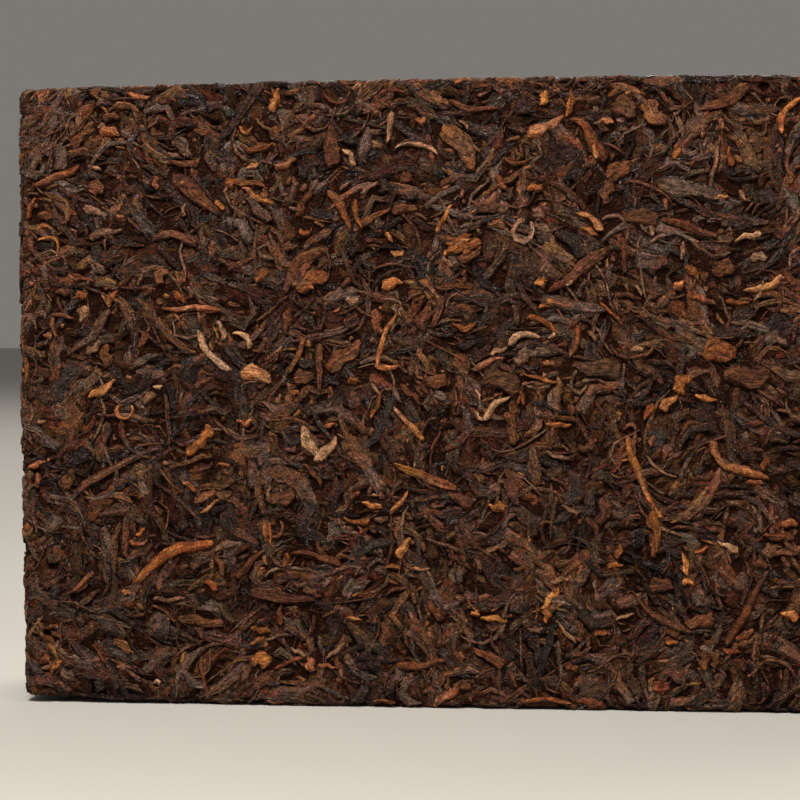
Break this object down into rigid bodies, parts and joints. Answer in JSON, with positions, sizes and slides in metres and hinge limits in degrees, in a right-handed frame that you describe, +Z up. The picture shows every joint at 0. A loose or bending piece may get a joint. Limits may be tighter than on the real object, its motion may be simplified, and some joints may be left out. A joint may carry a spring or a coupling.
{
  "type": "pu erh tea brick",
  "caption": "Rectangular brick of dark pressed tea leaves with slightly bowed sides and rounded edges, standing on a long narrow side.",
  "frame": {"origin": "middle of the flat foot, on the long narrow side that the brick stands on", "axes": "+X along the length, +Y through the thickness towards the back, +Z up through the height"},
  "size_m": [0.14, 0.025, 0.0899],
  "materials": {
    "dark_leaf": "dry pressed leaf, dark brown to near black, with a faint grey sheen on its ridges",
    "brown_leaf": "dry pressed leaf, mid to reddish brown, matt",
    "russet_flake": "flat dry leaf blade, russet, with fine veins, matt",
    "golden_bud": "dry bud or young stem, orange to golden, matt",
    "pale_stem": "dry stem, pale tan, matt"
  },
  "bodies": {
    "root": {"tea_brick": "dark_leaf"}
  },
  "joints": []
}
